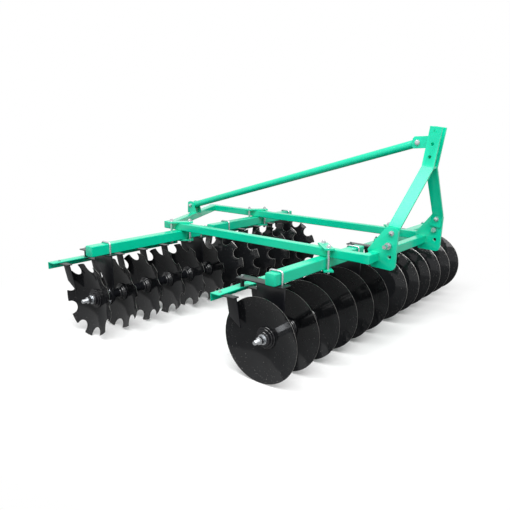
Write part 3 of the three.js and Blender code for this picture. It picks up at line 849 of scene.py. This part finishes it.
def stay(name):
    """The round tube from the mast's lugs to the ears on the rear crossbeam."""
    along = (STAY_REAR - STAY_FRONT).normalized()
    past = 22 * MM
    length = (STAY_REAR - STAY_FRONT).length + 2 * past
    outer, bore, broken = 24 * MM, 20 * MM, 1 * MM
    rows = [(bore, 0), (outer - broken, 0), (outer, broken)]
    rows += [(outer, length - broken), (outer - broken, length), (bore, length)]
    bm = bmesh.new()
    turned = along.to_track_quat("Z", "Y").to_matrix().to_4x4()
    revolve(bm, rows, 48, Matrix.Translation(STAY_FRONT - along * past) @ turned, loop=True)
    clean(bm)
    made = place_mesh(name, bm, [finish("green")])
    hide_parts("stay_tube")
    return made


def rounded_square(half, corner, steps=4):
    """The outline of a square with rounded corners, about its middle."""
    outline = []
    for quarter in range(4):
        turn = math.pi / 2 * quarter + math.pi / 4
        hub = Vector((math.cos(turn), math.sin(turn))) * (half - corner) * math.sqrt(2)
        for step in range(steps + 1):
            a = math.pi / 2 * (quarter + step / steps)
            outline.append(hub + Vector((math.cos(a), math.sin(a))) * corner)
    return outline


def beam_end_caps(name):
    """Round-cornered caps that close the ends of the gang beams."""
    # How far in from the beam's faces and out of its end each ring stands, in millimetres.
    profile = ((1, -1), (1, 1.8), (1.5, 2.6), (2.5, 3))
    bm = bmesh.new()
    for gang in GANGS:
        low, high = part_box(f"gang_beam_{gang}")
        centre = (low + high) / 2
        for end, out in ((low.x, -MM), (high.x, MM)):
            rings = []
            for narrower, proud in profile:
                outline = rounded_square(BEAM_HALF - narrower * MM, 9 * MM)
                x = end + out * proud
                spots = [(x, centre.y + corner.x, centre.z + corner.y) for corner in outline]
                rings.append([bm.verts.new(spot) for spot in spots])
            skin(bm, rings)
    bmesh.ops.recalc_face_normals(bm, faces=bm.faces)
    return place_mesh(name, bm, [finish("green")], sharp=40)


def scraper_angle(name, gang):
    """The steel angle behind a gang that carries its strips."""
    side = side_of(gang)
    low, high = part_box(f"scraper_bar_{gang}")
    outer = low.x if side < 0 else high.x
    inner = hub_of(gang, DISCS).x + side * (SCRAPER_OFF - 35 * MM)  # just past the last strip
    axle = middle(f"axle_{gang}").y
    top, under, foot = SCRAPER_TOP, SCRAPER_TOP - SCRAPER_WALL, SCRAPER_TOP - 45 * MM
    front, rear = axle + ANGLE_FRONT, axle + ANGLE_REAR
    outline = [(front, top), (front, under), (rear - SCRAPER_WALL, under)]
    outline += [(rear - SCRAPER_WALL, foot), (rear, foot), (rear, top)]
    bm = bmesh.new()
    prism(bm, outline, min(outer, inner), max(outer, inner))
    break_edges(bm, 0.8 * MM)
    made = place_mesh(name, bm, [finish("green")], sharp=21)
    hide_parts(f"scraper_bar_{gang}")
    return made


def scraper_strip(name, side):
    """One strip about its disc's hub: a foot under the angle and a blade slanting into the dish."""
    top = SCRAPER_TOP - SCRAPER_WALL - FIT - middle("axle_front_right").z
    thick = 6 * MM
    neck = top - thick / 2
    tip, tip_off = 34 * MM, 52 * MM  # the tip above the axle and off the hub
    slope = (SCRAPER_OFF - tip_off) / (top - tip)
    blade = ((128 * MM, neck), (194 * MM, neck), (196 * MM, 93 * MM), (129 * MM, tip))
    front, rear = 128 * MM, 262 * MM
    foot = [(front, top), (rear, top), (rear, top - thick), (front, top - thick)]
    bm = bmesh.new()
    sheets = []
    for lay in (-thick / 2, thick / 2):
        leant = [(side * (tip_off + slope * (z - tip) + lay), y, z) for y, z in blade]
        sheets.append([bm.verts.new(corner) for corner in leant])
    skin(bm, sheets)
    prism(bm, foot, side * SCRAPER_OFF - 20 * MM, side * SCRAPER_OFF + 20 * MM)
    break_edges(bm, 0.8 * MM)
    return place_mesh(name, bm, sharp=21)


class HARROW_OT_steelwork(bpy.types.Operator):
    """Builds the painted frame, mast, stay, beams with their end caps, clamps and scraper bars"""

    bl_idname = "harrow.steelwork"
    bl_label = "Painted steelwork"

    def execute(self, context):
        pieces = [
            dressed_copy("painted_frame", ["main_frame"], 1.5 * MM),
            dressed_copy("painted_mast", ["mast"], 1.2 * MM),
            stay("painted_stay"),
            dressed_copy("gang_beams", [f"gang_beam_{gang}" for gang in GANGS], 1.2 * MM),
            beam_end_caps("beam_end_caps"),
        ]
        for gang in GANGS:
            bolts = clamp_bolts(gang)
            pieces.append(dressed_copy(f"clamps_{gang}", [f"clamp_{gang}"], 1.0 * MM, bolts))
            pieces.append(scraper_angle(f"scraper_angles_{gang}", gang))
        for piece in pieces:
            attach(piece, "frame")
        for gang in GANGS:
            side = side_of(gang)
            strips = scraper_strip(f"scraper_strips_{gang}", side)
            start = list(hub_of(gang, 1))
            step = [-side * PITCH, 0.0, 0.0]
            grow(strips, "row", count=DISCS, start=start, step=step, turn=0.0, finish=finish("black"))
            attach(strips, "frame")
        return {"FINISHED"}


# ---- fasteners -------------------------------------------------------------------------------


def template(name, bm):
    """A hidden piece that a tree copies."""
    made = place_mesh(name, bm)
    made.hide_render = True
    return made


def hexagon(bm, radius, share):
    """A hexagon on a round washer, Z outwards. Its height is a share of its radius over the corners."""
    washer, thick = radius * 1.12, 2 * MM
    revolve(bm, [(0, 0), (washer, 0), (washer, thick), (0, thick)], 20)
    revolve(bm, hex_rows(radius, radius * share), 6, Matrix.Translation((0, 0, thick)))


def bolt_head(name, radius):
    """A bolt's head on a washer."""
    bm = bmesh.new()
    hexagon(bm, radius, 0.72)
    clean(bm)
    return template(name, bm)


def nut_and_tail(name, radius):
    """A nut on a washer with the bolt's threaded end standing out of it."""
    bm = bmesh.new()
    hexagon(bm, radius, 0.85)
    revolve(bm, thread_rows(radius * 0.52, radius * 0.8, radius * 1.6, 1.75 * MM), 14)
    clean(bm)
    return template(name, bm)


def u_bolt(name):
    """A round bar bent over the gang beam, standing on the hanger's plate."""
    half = BEAM_HALF + FIT + U_BAR
    top = BEAM_HIGH - BEAM_LOW + FIT + U_BAR
    bend = 12 * MM
    foot = -HANGER_WALL - 16 * MM
    path = [Vector((0, -half, foot)), Vector((0, -half, top - bend))]
    steps = 6
    for i in range(1, steps + 1):
        a = math.pi / 2 * i / steps
        path.append(Vector((0, -half + bend * (1 - math.cos(a)), top - bend + bend * math.sin(a))))
    path += [Vector((0, -p.y, p.z)) for p in reversed(path)]
    bm = bmesh.new()
    sides = 14
    turns = [math.tau * n / sides for n in range(sides)]
    across = Vector((1, 0, 0))
    rings = []
    for i, p in enumerate(path):
        before, after = path[max(i - 1, 0)], path[min(i + 1, len(path) - 1)]
        up = (after - before).normalized().cross(across)
        spots = [p + U_BAR * (math.cos(a) * across + math.sin(a) * up) for a in turns]
        rings.append([bm.verts.new(spot) for spot in spots])
    skin(bm, rings)
    clean(bm)
    return template(name, bm)


UP = Vector((0, 0, 1))


class HARROW_OT_fasteners(bpy.types.Operator):
    """Builds the U-bolts and the zinc bolts and nuts of the frame"""

    bl_idname = "harrow.fasteners"
    bl_label = "Fasteners"

    def execute(self, context):
        templates = {
            "u_bolts": u_bolt("u_bolt"),
            "u_bolt_nuts": nut_and_tail("small_nut", 10.5 * MM),
            "housing_bolts": bolt_head("housing_bolt", 10.5 * MM),
            "scraper_bolts": bolt_head("scraper_bolt", 8.5 * MM),
            "frame_bolts": bolt_head("frame_bolt", 13 * MM),
            "frame_nuts": nut_and_tail("frame_nut", 13 * MM),
        }
        points = {key: [] for key in templates}
        for gang in GANGS:
            self.hanger_points(gang, points)
            self.strip_points(gang, points)
        self.frame_points(points)
        for key, piece in templates.items():
            made = scatter(key, piece, points[key], "zinc")
            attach(made, "frame")
        for piece in templates.values():
            bpy.data.objects.remove(piece)
        for node in ("hitch_pin_right", "hitch_pin_left"):
            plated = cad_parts[node].material_slots[0]
            plated.link = "OBJECT"
            plated.material = finish("zinc")
        return {"FINISHED"}

    def hanger_points(self, gang, points):
        """U-bolts with their nuts, bolts round the bearing housing and the bolt over the spacer."""
        axle, outward = middle(f"axle_{gang}"), Vector((side_of(gang), 0, 0))
        leg = BEAM_HALF + FIT + U_BAR
        circle = 51 * MM  # radius of the circle of housing bolts
        for number in range(1, HANGERS + 1):
            place = hanger_place(gang, number)
            points["u_bolts"].append((place, UP))
            for ahead in (-leg, leg):
                foot = Vector((place.x, place.y + ahead, BEAM_LOW - FIT - HANGER_WALL))
                points["u_bolt_nuts"].append((foot, -UP))
            face = Vector((place.x, axle.y, axle.z)) + 21 * MM * outward
            for quarter in range(4):
                a = math.radians(45 + 90 * quarter)
                spot = face + circle * Vector((0, math.cos(a), math.sin(a)))
                points["housing_bolts"].append((spot, outward))
            points["scraper_bolts"].append((Vector((place.x, axle.y + SPACER_BACK, BEAM_LOW - FIT)), UP))

    def strip_points(self, gang, points):
        """A bolt over each scraper strip's foot, but for those that a hanger covers."""
        back = middle(f"axle_{gang}").y + (ANGLE_FRONT + ANGLE_REAR) / 2
        covers = [hanger_place(gang, number).x for number in range(1, HANGERS + 1)]
        for k in range(1, DISCS + 1):
            x = hub_of(gang, k).x + side_of(gang) * SCRAPER_OFF
            if min(abs(x - cover) for cover in covers) >= 50 * MM:
                points["scraper_bolts"].append((Vector((x, back, SCRAPER_TOP)), UP))

    def frame_points(self, points):
        """The bolts through the foot of the mast and through both ends of the stay."""
        inside = MAST_OUTSIDE - 12 * MM
        ear = 34.4 * MM  # from the middle to the outer face of an ear of the stay
        for s in (-1, 1):
            out = Vector((s, 0, 0))
            points["frame_bolts"].append((MAST_FOOT + out * HITCH_PLATE, out))
            points["frame_nuts"].append((MAST_FOOT + out * inside, -out))
        out = Vector((1, 0, 0))
        for place in (STAY_FRONT, STAY_REAR):
            points["frame_bolts"].append((place - out * ear, -out))
            points["frame_nuts"].append((place + out * ear, out))


# ---- studio ----------------------------------------------------------------------------------


def seen_rays(tree):
    """The Light Path node, and 1 for what the camera or a mirror sees."""
    path = add(tree, "ShaderNodeLightPath")
    rays = {0: path.outputs["Is Camera Ray"], 1: path.outputs["Is Glossy Ray"]}
    return path, add(tree, "ShaderNodeMath", rays, operation="MAXIMUM").outputs[0]


class HARROW_OT_studio(bpy.types.Operator):
    """Sets the pale floor, the soft light and the camera"""

    bl_idname = "harrow.studio"
    bl_label = "Studio"

    def execute(self, context):
        sizes = context.scene.harrow_studio
        self.floor()
        self.light(sizes)
        self.camera(sizes)
        context.scene.view_settings.view_transform = "Standard"
        return {"FINISHED"}

    def floor(self):
        bm = bmesh.new()
        bmesh.ops.create_circle(bm, cap_ends=True, segments=96, radius=60)
        for vert in bm.verts:
            vert.co.z = -0.2 * MM  # just under the discs
        material = bpy.data.materials.new("matt_white_studio_floor")
        material.use_nodes = True
        tree = material.node_tree
        tree.nodes.clear()
        path, seen = seen_rays(tree)
        # The floor looks white but throws less light up under the beams, as a dark yard would.
        levels = {"Value": path.outputs["Is Camera Ray"], "To Min": 0.28, "To Max": 1.0}
        pale = add(tree, "ShaderNodeMapRange", levels)
        matt = add(tree, "ShaderNodeBsdfDiffuse", {"Color": pale.outputs["Result"]})
        white = add(tree, "ShaderNodeEmission", {"Color": (1, 1, 1, 1), "Strength": 1.0})
        coords = add(tree, "ShaderNodeTexCoord").outputs["Object"]
        far = add(tree, "ShaderNodeVectorMath", {0: coords}, operation="LENGTH")
        # What the steel mirrors turns white 2 m further out than what the camera sees.
        terms = {0: path.outputs["Is Glossy Ray"], 1: -2.0, 2: far.outputs["Value"]}
        near = add(tree, "ShaderNodeMath", terms, operation="MULTIPLY_ADD")
        reach = {"Value": near.outputs[0], "From Min": 0.8, "From Max": 2.3}
        fade = add(tree, "ShaderNodeMapRange", reach)
        shares = {0: seen, 1: fade.outputs["Result"]}
        share = add(tree, "ShaderNodeMath", shares, operation="MULTIPLY").outputs[0]
        mixed = add(tree, "ShaderNodeMixShader", {0: share, 1: matt.outputs[0], 2: white.outputs[0]})
        add(tree, "ShaderNodeOutputMaterial", {"Surface": mixed.outputs[0]})
        made = place_mesh("studio_floor", bm, [material])

    def light(self, sizes):
        world = bpy.data.worlds.new("soft_white_room")
        bpy.context.scene.world = world
        world.use_nodes = True
        tree = world.node_tree
        tree.nodes.clear()
        _, seen = seen_rays(tree)
        level = add(tree, "ShaderNodeMapRange", {"Value": seen, "To Min": sizes.sky, "To Max": 1.0})
        room = {"Color": (1, 1, 1, 1), "Strength": level.outputs["Result"]}
        sky = add(tree, "ShaderNodeBackground", room)
        add(tree, "ShaderNodeOutputWorld", {"Surface": sky.outputs[0]})
        target = Vector((0, -0.2, 0.4))
        lamps = (
            ("key_softbox", sizes.key, 3.2, (-2.2, -2.6, 4.3)),
            ("rim_softbox", sizes.rim, 2.4, (-2.7, 0.6, 4.5)),
        )
        for name, power, size, place in lamps:
            lamp = bpy.data.lights.new(name, "AREA")
            lamp.size = size
            lamp.energy = power
            made = show(name, lamp)
            made.location = place
            made.rotation_euler = (target - made.location).to_track_quat("-Z", "Y").to_euler()

    def camera(self, sizes):
        view = bpy.data.cameras.new("camera")
        view.lens = sizes.lens
        view.sensor_width = 36
        view.shift_x, view.shift_y = sizes.shift
        made = show("camera", view)
        made.location = sizes.place
        flat = math.cos(sizes.pitch)
        across, along = math.sin(sizes.yaw) * flat, math.cos(sizes.yaw) * flat
        ahead = Vector((across, along, -math.sin(sizes.pitch)))
        level = ahead.to_track_quat("-Z", "Y").to_matrix().to_4x4()
        made.rotation_euler = (level @ Matrix.Rotation(sizes.roll, 4, "Z")).to_euler()
        bpy.context.scene.camera = made


# ---- add-on ----------------------------------------------------------------------------------

OPERATORS = (
    HARROW_OT_discs,
    HARROW_OT_axles,
    HARROW_OT_hangers,
    HARROW_OT_steelwork,
    HARROW_OT_fasteners,
    HARROW_OT_studio,
)
SETTINGS = {
    "harrow_discs": HarrowDiscs,
    "harrow_axles": HarrowAxles,
    "harrow_hangers": HarrowHangers,
    "harrow_paint": HarrowPaint,
    "harrow_studio": HarrowStudio,
}


class HARROW_PT_panel(bpy.types.Panel):
    bl_label = "Harrow"
    bl_idname = "HARROW_PT_panel"
    bl_space_type = "VIEW_3D"
    bl_region_type = "UI"
    bl_category = "Harrow"

    def draw(self, context):
        for operator in OPERATORS:
            self.layout.operator(operator.bl_idname)
        for group in SETTINGS:
            settings = getattr(context.scene, group)
            for name in settings.bl_rna.properties.keys():
                if name not in ("rna_type", "name"):
                    self.layout.prop(settings, name)


CLASSES = (*SETTINGS.values(), *OPERATORS, HARROW_PT_panel)


def register():
    for cls in CLASSES:
        bpy.utils.register_class(cls)
    for name, cls in SETTINGS.items():
        setattr(bpy.types.Scene, name, PointerProperty(type=cls))


def unregister():
    for name in SETTINGS:
        delattr(bpy.types.Scene, name)
    for cls in reversed(CLASSES):
        bpy.utils.unregister_class(cls)


def main():
    register()
    for operator in OPERATORS:
        family, call = operator.bl_idname.split(".")
        getattr(getattr(bpy.ops, family), call)()


if __name__ == "__main__":
    main()
